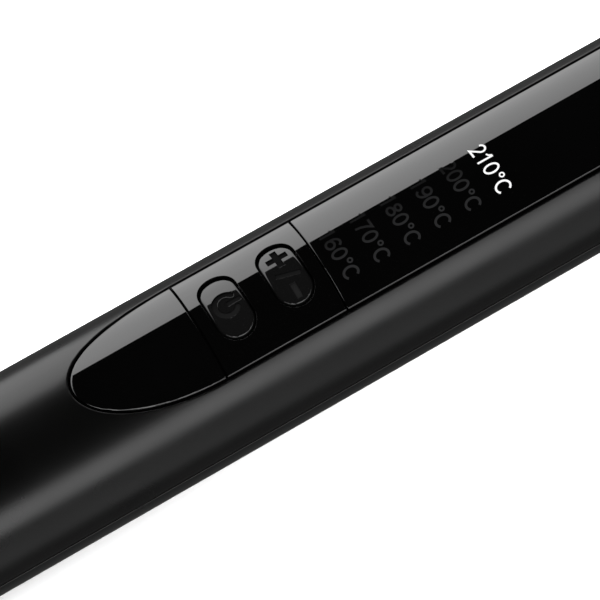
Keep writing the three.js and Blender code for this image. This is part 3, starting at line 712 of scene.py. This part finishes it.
def glyph(figure, width):
    """A figure's shapes, one unit high, and how far the next figure starts from it."""
    edge = width / 2
    if figure == "0":
        return [ring((0.34, 0.5), (0.27, 0.5 - edge), width)], FIGURE_STEP
    if figure == "1":
        flag = stroke([(0.10, 0.73), (0.24, 0.79), (0.36, 0.99)], width * 0.85)
        return [[stroke([(0.40, 0), (0.40, 1)], width)], [flag]], FIGURE_STEP
    if figure == "2":
        top = arc((0.34, 0.69), (0.25, 0.31 - edge), 172, -38, 24)
        return [[stroke([*top, (0.10, edge), (0.66, edge)], width)]], FIGURE_STEP
    if figure == "6":
        return six(width), FIGURE_STEP
    if figure == "7":
        path = [(0.04, 1 - edge), (0.60, 1 - edge), (0.42, 0.65), (0.30, 0.32), (0.26, 0)]
        return [[stroke(path, width)]], FIGURE_STEP
    if figure == "8":
        upper = ring((0.34, 0.755), (0.225, 0.245 - edge), width)
        lower = ring((0.34, 0.28), (0.27, 0.28 - edge), width)
        return [upper, lower], FIGURE_STEP
    if figure == "9":
        return six(width, turned_round=True), FIGURE_STEP
    if figure == "°":
        return [ring((0.24, 0.80), (0.13, 0.13), width * 0.7)], 0.49
    return [[stroke(arc((0.42, 0.5), (0.345, 0.5 - edge), 42, 318, 40), width)]], 0.84


def make_label(figures, i):
    """A temperature behind the lens, reading across the handle with its top towards the tip."""
    is_lit = figures == LABELS[-1]
    width = LIT_LINE if is_lit else DIM_LINE
    pieces, along = [], 0.0
    for figure in figures + "°C":
        shapes, advance = glyph(figure, width)
        for shape in shapes:
            moved = [[(along + a, b) for a, b in outline] for outline in shape]
            pieces.append(plate("figure", moved, 0, 0.02))
        along += advance
    label = gather(*pieces)
    label.name = f"label_{figures}"
    scale = Matrix.Diagonal((LABEL_LENGTH / (along - 0.04), LABEL_CAP_HEIGHT, 3, 1))
    middle = LABEL_FIRST + i * LABEL_PITCH - LABEL_CAP_HEIGHT / 2
    spot = Matrix.Translation((middle, LABEL_START_ARC, INLAY_TOP - 0.03))
    place(label, spot @ Matrix.Rotation(-math.pi / 2, 4, "Z") @ scale)
    score(label)
    roll(label, SHELL_R)
    smooth(label)
    # The lit figure glows as the display's lamp; the dim figures' glow is painted light.
    seat(label, "handle", LIT_FIGURES if is_lit else DIM_FIGURES_PAINTED_GLOW)


# ---------------------------------------------------------------- turned pieces

def table_plane(node, height):
    """A point and the downward normal of the plane at that height over the table, on the iron's axis."""
    back = ON_TABLE.inverted()
    point = back @ Vector((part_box(node)[0].x, 0, height / TO_MM))
    return point, (back.to_3x3() @ Vector((0, 0, -1))).normalized()


def make_rear_cap():
    """The cap that closes the handle's rear, with its heel flattened where it lies on the table."""
    low, high = reach("rear_cap")
    bore = 8.3
    cap = turned("rear_cap_skin", rounded([
        (low.x, bore, 0.3), (low.x, SHELL_R, 4.8), (-GAP, SHELL_R, SHELL_EDGE), (-GAP, SPIGOT_R),
        (high.x, SPIGOT_R, 0.3), (high.x, 11.8), (0, 11.8), (0, bore),
    ], steps=8), closed=True)
    trim(cap, *table_plane("rear_cap", 0))
    smooth(cap)
    seat(cap, "handle", SATIN, ["rear_cap"])


def make_swivel_gland():
    low, high = reach("swivel_gland")
    rear_face, collar_face = low.x, reach("rear_cap")[0].x - GAP
    outside = [(rear_face, 5.0, 0.4), (rear_face, 6.6, 0.6)]
    ribs = 4
    for i in range(ribs):
        start = rear_face + 3.0 + 3.2 * i
        radius = 7.0 + 0.6 * i
        outside += [(start, radius, 0.25), (start, radius - 0.7, 0.25), (start + 1.2, radius - 0.6, 0.25),
                    (start + 1.2, radius + 0.15, 0.25)]
    outside += [
        (collar_face - 0.2, 9.6, 0.7), (collar_face, 8.9, 0.3), (collar_face, 8.0), (0, 8.0), (0, 7.3),
        (2.6, 7.3), (2.6, 8.0), (4.7, 8.0), (4.7, 6.4), (high.x, 6.4), (high.x, 2.4), (-14, 2.4),
        (-14, 5.0),
    ]
    gland = turned("swivel_gland_skin", rounded(outside, steps=4), closed=True)
    smooth(gland)
    seat(gland, "swivel", SATIN, ["swivel_gland"])


def across_plate(name, outline, side, inner, outer, edge):
    """A plate standing in the xz plane, between two distances out to one side."""
    piece = plate(name, outline, inner, outer, edge)
    turn = Matrix(((1, 0, 0, 0), (0, 0, side, 0), (0, 1, 0, 0), (0, 0, 0, 1)))
    place(piece, turn)
    edit(piece)
    bpy.ops.mesh.normals_make_consistent(inside=False)
    leave_edit()
    return piece


STAND_X = 176.0
STAND_EYE = circle(STAND_X, 0, 4.5)
EYE_EDGE = 0.35


def make_front_collar():
    bore = ROUND_BARREL_R
    start = SHELL_FRONT + GAP
    collar = turned("front_collar_skin", rounded([
        (160, bore), (160, SPIGOT_R), (start, SPIGOT_R), (start, SHELL_R, SHELL_EDGE),
        (177.3, SHELL_R, 8), (COLLAR_FRONT, 15, 0.5), (COLLAR_FRONT, bore, 0.2),
    ], steps=8), closed=True)
    eye_reach = reach("front_collar")[1].y
    for side in (1, -1):
        eye = across_plate("eye", [STAND_EYE], side, 13.2, eye_reach, EYE_EDGE)
        weld(collar, eye)
    smooth(collar)
    seat(collar, "handle", SATIN, ["front_collar"])


def make_heat_ring():
    low, high = reach("heat_ring")
    bore = ROUND_BARREL_R
    band = turned("heat_ring_skin", rounded([
        (low.x, bore, 0.15), (low.x, 15.0, 0.35), (high.x, 14.2, 0.5), (high.x, bore, 0.3),
    ]), closed=True)
    smooth(band)
    seat(band, "handle", RING_STEEL, ["heat_ring"])


def make_barrel():
    low, high = reach("barrel")
    inside = BARREL_R - 0.9
    barrel = turned("barrel_skin", rounded([
        (low.x, inside, 0.2), (low.x, BARREL_R, 0.3), (high.x, BARREL_R, 0.35), (high.x, inside, 0.2),
    ]), closed=True, facets=160)
    smooth(barrel)
    seat(barrel, "handle", CERAMIC, ["barrel"])


def make_tip():
    """The insulating ring in the barrel's end, and the grooved cap that stays cool."""
    low, high = reach("tip_insulator")
    insulator = turned("tip_insulator_skin", rounded([
        (low.x, 4.0), (low.x, 11.3), (BARREL_FRONT + GAP, 11.3), (BARREL_FRONT + GAP, BARREL_R, 0.3),
        (high.x, BARREL_R, 0.3), (high.x, 4.0),
    ]), closed=True)
    smooth(insulator)
    seat(insulator, "handle", SATIN, ["tip_insulator"])
    start, end = high.x + GAP, reach("tip_cap")[1].x - 0.15
    groove_r = BARREL_R - 0.45
    corners = [(low.x + 1, 0), (low.x + 1, 3.7), (start, 3.7), (start, BARREL_R, 0.3)]
    for i in range(3):
        x = start + 2.2 + 1.9 * i
        corners += [(x, BARREL_R, 0.2), (x + 0.25, groove_r, 0.2), (x + 0.75, groove_r, 0.2),
                    (x + 1.0, BARREL_R, 0.2)]
    corners += [(end, BARREL_R, 6.8), (end, 0)]
    cap = turned("tip_cap_skin", rounded(corners, closed=False, steps=8))
    smooth(cap)
    seat(cap, "handle", SATIN, ["tip_cap"])


def make_screws():
    """Cross-headed screws, turned along x and then set upright with their heads below."""
    shank, head = 1.3, 2.6
    for node, x in SCREW_X.items():
        low, high = reach(node)
        top = -low.z
        head_bottom = top - (2.0 if node.startswith("shell") else 1.0)
        screw = turned(node + "_turned", rounded([
            (-high.z, 0), (-high.z + 0.6, shank), (head_bottom, shank), (head_bottom, head),
            (top - 0.7, head, 0.3), (top, 1.7, 0.8), (top, 0),
        ], closed=False), facets=48)
        for turn in (0, 90):
            slot = plate("slot", [rectangle(-1.5, 1.5, -0.28, 0.28, 0.1)], top - 0.9, top + 1)
            turned_in = Matrix.Rotation(math.radians(turn + 20), 4, "Z")
            place(slot, Matrix.Rotation(math.pi / 2, 4, "Y") @ turned_in)
            cut_away(screw, slot)
        smooth(screw, 40)
        upright = Matrix.Translation((x, 0, 0)) @ Matrix.Rotation(math.pi / 2, 4, "Y")
        seat(screw, "handle", STEEL, [node], upright)


# ---------------------------------------------------------------- clamp

PIVOT_X, PIVOT_Z = 193.0, 18.5
LEVER_RISE = math.radians(18)
SPOON_SHEET = 0.9
PIN_HOLE = circle(PIVOT_X, PIVOT_Z, 1.8)
LEVER = Matrix(((-math.cos(LEVER_RISE), 0, math.sin(LEVER_RISE), PIVOT_X), (0, -1, 0, 0),
                (math.sin(LEVER_RISE), 0, math.cos(LEVER_RISE), PIVOT_Z), (0, 0, 0, 1)))


def lever_place(back, up):
    """A spot given back along the thumb lever and up from it, as x and z on the iron's axis."""
    spot = LEVER @ Vector((back, 0, up))
    return spot.x, spot.z


def arc_half(radius, chord):
    """How far round an arc reaches to either side, for half the width that it spans."""
    return radius * math.asin(chord / radius)


def make_clamp_bracket():
    low, high = reach("clamp_bracket")
    inside = ROUND_BARREL_R
    half = inside * math.acos(9.0 / inside)
    bracket = plate("clamp_bracket_sheet", [rectangle(low.x, high.x, -half, half, 1.5)], 0, 1.2, 0.25)
    score(bracket, SHEET_STRIP)
    roll(bracket, inside)
    ear_r, ear_foot = 3.2, 10.5
    ear_outline = [(PIVOT_X - ear_r, ear_foot), (PIVOT_X + ear_r, ear_foot)]
    ear_outline += arc((PIVOT_X, PIVOT_Z), (ear_r, ear_r), 0, 180, 24)
    for side in (1, -1):
        ear = across_plate("ear", [ear_outline, PIN_HOLE], side, 5.0, 6.4, 0.2)
        core = turned("core", [(180, 0), (180, inside + 0.2), (206, inside + 0.2), (206, 0)], 96)
        cut_away(ear, core)
        weld(bracket, ear)
    smooth(bracket)
    seat(bracket, "handle", STEEL, ["clamp_bracket"])


def pin_head(start, shank, head, depth):
    """The profile of a domed head that sits at the end of a shank."""
    return [(start, shank), (start, head, 0.15), (start + depth * 0.4, head, 0.3),
            (start + depth, head * 0.55, 0.5), (start + depth, 0)]


def make_clamp_pin():
    end = reach("clamp_pin")[1].y
    right_head = pin_head(end - 0.8, 1.5, 2.3, 0.8)
    left_head = [(-corner[0], *corner[1:]) for corner in reversed(right_head)]
    pin = turned("clamp_pin_turned", rounded(left_head + right_head, closed=False), facets=64)
    smooth(pin, 40)
    turn = Matrix.Translation((PIVOT_X, 0, PIVOT_Z)) @ Matrix.Rotation(math.pi / 2, 4, "Z")
    seat(pin, "handle", STEEL, ["clamp_pin"], turn)


def make_clamp_spoon():
    """The long curved sheet that holds the hair, with two lugs on the pin and a strip under the lever."""
    rear, front, half = 199.0, reach("clamp_spoon")[1].x, arc_half(ROUND_BARREL_R, 10.4)
    tip = arc((front - 14, 0), (14, half), -90, 90, 32)
    outline = rounded([(rear, half, 2), (rear, -half, 2), *tip])
    spoon = plate("clamp_spoon_sheet", [outline], 0, SPOON_SHEET, 0.3)
    score(spoon, SHEET_STRIP)
    roll(spoon, ROUND_BARREL_R)
    lug = rounded([
        (rear + 0.3, 12.7), (rear + 6, 12.7), (rear + 6, 13.6, 0.3), (rear + 1.6, 13.9, 2.5),
        (rear - 0.4, 17.3, 2), (PIVOT_X + 2.9, PIVOT_Z + 2.6, 2), (*lever_place(4, 2.8), 2),
        lever_place(7.5, 2.8), (*lever_place(7.5, 0.4), 0.5), (*lever_place(2.6, -1.8), 1.5),
        (PIVOT_X - 0.6, PIVOT_Z - 3, 2), (PIVOT_X + 2.2, PIVOT_Z - 2.6, 2.5),
    ])
    for side in (1, -1):
        gather(spoon, across_plate("lug", [lug, PIN_HOLE], side, 3.2, 4.6, 0.15))
    strip_outline = rounded([(4.5, -4.6, 0.5), (34, -4.6, 2), (34, 4.6, 2), (4.5, 4.6, 0.5)])
    strip = plate("strip", [strip_outline], 1.6, 2.8, 0.15)
    place(strip, LEVER)
    gather(spoon, strip)
    smooth(spoon)
    seat(spoon, "clamp", CERAMIC, ["clamp_spoon"])


def make_thumb_lever():
    """A dished pad with six ribs, pocketed over the spoon's strip."""
    outline = rounded([
        (8, -6.5, 2), (12, -8.5, 4), (40, -8.5, 7.5), (40, 8.5, 7.5), (12, 8.5, 4), (8, 6.5, 2),
    ], steps=8)
    pad = plate("thumb_lever_pad", [outline], 0.62, 4.95, 1.0, 5)
    dish = turned("dish", rounded([(8, 0), (9, 30, 3), (41, 30, 3), (42, 0)], closed=False), 256)
    place(dish, Matrix.Translation((0, 0, 33.6)))
    cut_away(pad, dish)
    cut_away(pad, plate("pocket", [rectangle(7, 34.3, -4.9, 4.9)], 1.3, 3.1))
    ribs = []
    for i in range(6):
        half = 5.0 - 0.3 * abs(i - 2.5)
        profile = [(-half - 0.2, 0), (-half, 0.5, 0.3), (half, 0.5, 0.3), (half + 0.2, 0)]
        rib = turned("rib", rounded(profile, closed=False), 24)
        place(rib, Matrix.Translation((18 + 3.2 * i, 0, 3.55)) @ Matrix.Rotation(math.pi / 2, 4, "Z"))
        ribs.append(rib)
    weld(pad, *ribs)
    place(pad, LEVER)
    smooth(pad)
    seat(pad, "clamp", SATIN, ["thumb_lever"])


def make_clamp_spring():
    """A torsion spring round the clamp pin, one leg under the lever and one on the bracket."""
    turns, per_turn, pitch, coil = 4, 24, 1.1, 2.6
    start = math.pi / 2 - LEVER_RISE
    points = []
    for i in range(turns * per_turn + 1):
        turn = start + 2 * math.pi * i / per_turn
        y = pitch * (i / per_turn - turns / 2)
        points.append((PIVOT_X - coil * math.cos(turn), y, PIVOT_Z + coil * math.sin(turn)))
    first = points[0]
    points.insert(0, (first[0] + 6.7, first[1], first[2] - 0.45))
    bpy.ops.object.select_all(action="DESELECT")
    bpy.ops.curve.primitive_nurbs_path_add()
    spring = bpy.context.object
    spring.data.splines.clear()
    line = spring.data.splines.new("POLY")
    line.points.add(len(points) - 1)
    for point, spot in zip(line.points, points):
        point.co = (*spot, 1)
    spring.data.bevel_depth = 0.44
    spring.data.bevel_resolution = 4
    spring.data.use_fill_caps = True
    bpy.ops.object.convert(target="MESH")
    spring = bpy.context.object
    spring.name = "clamp_spring_wire"
    clean(spring)
    smooth(spring, 50)
    seat(spring, "clamp", STEEL, ["clamp_spring"])


# ---------------------------------------------------------------- stand

STAND_LEAN = math.radians(8)
STAND_INNER = 18.3
STAND_REACH = 38.0


def make_stand():
    """A hoop with an eye at the top of each leg, leaning towards the tip and cut level below."""
    outer = STAND_INNER + 3
    legs = rounded([
        (outer, 1.0), (outer, -STAND_REACH, 5), (-outer, -STAND_REACH, 5), (-outer, 1.0),
        (-STAND_INNER, 1.0), (-STAND_INNER, 4 - STAND_REACH, 2), (STAND_INNER, 4 - STAND_REACH, 2),
        (STAND_INNER, 1.0),
    ], steps=8)
    bail = plate("stand_bail_hoop", [legs], -3.5, 3.5, 0.8, 4)
    place(bail, Matrix(((0, 0, 1, STAND_X), (1, 0, 0, 0), (0, 1, 0, 0), (0, 0, 0, 1))))
    for side in (1, -1):
        eye = across_plate("eye", [STAND_EYE], side, STAND_INNER, outer, EYE_EDGE)
        weld(bail, eye)
        cut_away(bail, across_plate("hole", [circle(STAND_X, 0, 2.2)], side, STAND_INNER - 2, outer + 2, 0))
    lean = Matrix.Translation((STAND_X, 0, 0)) @ Matrix.Rotation(-STAND_LEAN, 4, "Y")
    place(bail, lean @ Matrix.Translation((-STAND_X, 0, 0)))
    trim(bail, *table_plane("stand_foot", 1.8))
    smooth(bail)
    seat(bail, "stand", SATIN, ["stand_bail"])


def make_stand_foot():
    """A rubber pad flat on the table, with grooves across its sole."""
    low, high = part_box("stand_foot")
    middle = (low + high) / 2 * TO_MM
    half_x = (high.x - low.x) / 2 * TO_MM
    half_y = (high.y - low.y) / 2 * TO_MM
    outline = rectangle(-half_x, half_x, -half_y, half_y, 1.2)
    foot = plate("stand_foot_pad", [outline], 0, high.z * TO_MM, 0.3)
    grooves = 11
    for i in range(grooves):
        y = -half_y + half_y * 2 * (i + 1) / (grooves + 1)
        cut_away(foot, plate("groove", [rectangle(-9, 9, y - 0.25, y + 0.25)], -1, 0.35))
    smooth(foot)
    place(foot, Matrix.Scale(1 / TO_MM, 4) @ Matrix.Translation((middle.x, middle.y, 0)))
    foot.data.materials.append(RUBBER)
    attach(foot, "stand")
    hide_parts("stand_foot")


def make_stand_pins():
    shank = 1.9
    for side, node in ((1, "stand_pin_left"), (-1, "stand_pin_right")):
        head = pin_head(STAND_INNER + 3.3, shank, 3.4, 1.2)
        profile = rounded([(13.2, 0), (13.2, shank, 0.3), *head], closed=False)
        pin = turned(node + "_turned", profile, facets=64)
        smooth(pin, 40)
        turn = Matrix.Translation((STAND_X, 0, 0)) @ Matrix.Rotation(side * math.pi / 2, 4, "Z")
        seat(pin, "handle", STEEL, [node], turn)


# ---------------------------------------------------------------- inner pieces

INNER_FINISHES = {
    "bright_steel": STEEL, "contact_brass": BRASS, "heater_aluminium": ALUMINIUM, "board_green": BOARD,
    "component_dark": EPOXY, "natural_plastic": NATURAL, "led_white": NATURAL, "lead_sleeve": SLEEVE,
}


def finish_inner_pieces():
    """Gives the pieces inside, which keep their CAD shape, the finish that their slot names."""
    for part in frame["record"]["subparts"]:
        node = frame["nodes"][part["node"]]
        material = INNER_FINISHES.get(part["material_slot"])
        if node.hide_render or material is None:
            continue
        node.data.materials.clear()
        node.data.materials.append(material)


# ---------------------------------------------------------------- table, light and camera

def make_table():
    """A pale table that isn't mirrored in the iron and that blocks no light."""
    bpy.ops.object.select_all(action="DESELECT")
    bpy.ops.mesh.primitive_plane_add(size=6)
    table = bpy.context.object
    table.name = "table"
    material, tree, shader = new_material("pale_table", grey(0.88), 0.7, shine=0.1)
    color = tinted(tree, grain(tree, 30), grey(0.87), grey(0.89))
    tree.links.new(color, shader.inputs["Base Color"])
    table.data.materials.append(material)
    table.visible_glossy = False
    table.visible_shadow = False


HANDLE_FRAME = Matrix.Translation(ON_TABLE @ Vector((80, 0, 0))) @ Matrix.Rotation(-rise, 4, "Y")


def area_light(name, size, radiance, matrix):
    """A rectangular light that the camera doesn't see, placed in the handle's own frame, in metres."""
    bpy.ops.object.select_all(action="DESELECT")
    bpy.ops.object.light_add(type="AREA")
    light = bpy.context.object
    light.name = name
    light.data.shape = "RECTANGLE"
    light.data.size, light.data.size_y = size
    light.data.energy = math.pi * size[0] * size[1] * radiance
    light.matrix_world = HANDLE_FRAME @ matrix
    light.visible_camera = False
    return light


def soft_panel(name, bearing, sides, length, radiance, spread=180, glossy=True, twist=0):
    """A soft light beside the handle that faces its axis, all in degrees and metres.

    The bearing turns from straight above the handle to its left, and gives the foot of a square line
    from the axis to the panel, with its distance. Sides says how far the panel reaches to either side
    of that foot, first towards the top. The twist lowers its far end.
    """
    angle, distance = bearing
    turn = math.radians(angle)
    outward = Vector((0, math.sin(turn), math.cos(turn)))
    downward = Vector((0, math.cos(turn), -math.sin(turn)))
    upper, lower = (distance * math.tan(math.radians(side)) for side in sides)
    middle = outward * distance + downward * (upper + lower) / 2
    lean = math.radians(twist)
    along = Vector((1, 0, 0)) * math.cos(lean) + downward * math.sin(lean)
    turned_to = Matrix((-along, outward.cross(-along), outward)).transposed().to_4x4()
    panel = area_light(name, (length, lower - upper), radiance, Matrix.Translation(middle) @ turned_to)
    panel.data.spread = math.radians(spread)
    panel.visible_glossy = glossy


def make_rear_card():
    """A small soft light, low behind the handle, that falls on nothing but the display lens."""
    distance = 0.6
    outward = Vector((-0.95, 0.0, 0.31)).normalized()
    turn = outward.to_track_quat("Z", "Y").to_matrix().to_4x4()
    card = area_light("rear_card", (0.3, 0.17), 5.0, Matrix.Translation(outward * distance) @ turn)
    lit_by_it = bpy.data.collections.new("lit_by_rear_card")
    lit_by_it.objects.link(bpy.data.objects["display_lens_gloss"])
    card.light_linking.receiver_collection = lit_by_it


def make_lights():
    soft_panel("left_panel", (55, 0.32), (-10, 42), 1.6, 2.38, 140, twist=6)
    soft_panel("right_panel", (-68, 0.36), (-11.5, 11.5), 1.6, 4.7)
    soft_panel("right_card", (-105, 0.4), (-17, 15), 1.6, 0.75)
    soft_panel("ground_card", (180, 0.25), (-75, 75), 2.4, 0.1)
    soft_panel("floor_wash", (0, 1.2), (-35, 35), 1.8, 7.5, glossy=False)


def make_world():
    """White where the camera looks straight at it, and nearly dark to everything else."""
    world = bpy.data.worlds.new("studio")
    bpy.context.scene.world = world
    world.use_nodes = True
    tree = world.node_tree
    background = tree.nodes["Background"]
    background.inputs["Color"].default_value = (1, 1, 1, 1)
    path = tree.nodes.new("ShaderNodeLightPath")
    strength = tree.nodes.new("ShaderNodeMapRange")
    strength.inputs["To Min"].default_value = 0.02
    strength.inputs["To Max"].default_value = 1.0
    tree.links.new(path.outputs["Is Camera Ray"], strength.inputs["Value"])
    tree.links.new(strength.outputs["Result"], background.inputs["Strength"])


def make_camera():
    """A long lens over the handle, a little behind it and to its right."""
    turn, height, roll_angle = math.radians(-19.81), math.radians(62.76), math.radians(-11.64)
    distance = 0.430
    aim = Vector((0.00464, 0.00235, 0))
    back = Vector((math.sin(turn) * math.cos(height), -math.cos(turn) * math.cos(height), math.sin(height)))
    right = Vector((0, 0, 1)).cross(back).normalized()
    up = back.cross(right)
    right_rolled = right * math.cos(roll_angle) + up * math.sin(roll_angle)
    up_rolled = up * math.cos(roll_angle) - right * math.sin(roll_angle)
    look = Matrix((right_rolled, up_rolled, back)).transposed().to_4x4()
    bpy.ops.object.camera_add()
    camera = bpy.context.object
    camera.name = "studio_camera"
    camera.data.lens = 149.45
    camera.data.sensor_width = 36
    camera.data.clip_start = 0.01
    camera.matrix_world = HANDLE_FRAME @ Matrix.Translation(aim + back * distance) @ look
    bpy.context.scene.camera = camera


make_camera()
make_table()
make_lights()
make_world()
bpy.context.scene.view_settings.view_transform = "Standard"

make_upper_shell()
make_lower_shell()
make_inlay()
make_keys()
for index, temperature in enumerate(LABELS):
    make_label(temperature, index)
make_rear_cap()
make_swivel_gland()
make_front_collar()
make_heat_ring()
make_barrel()
make_tip()
make_screws()
make_clamp_bracket()
make_clamp_pin()
make_clamp_spoon()
make_thumb_lever()
make_clamp_spring()
make_stand()
make_stand_foot()
make_stand_pins()
finish_inner_pieces()
make_rear_card()
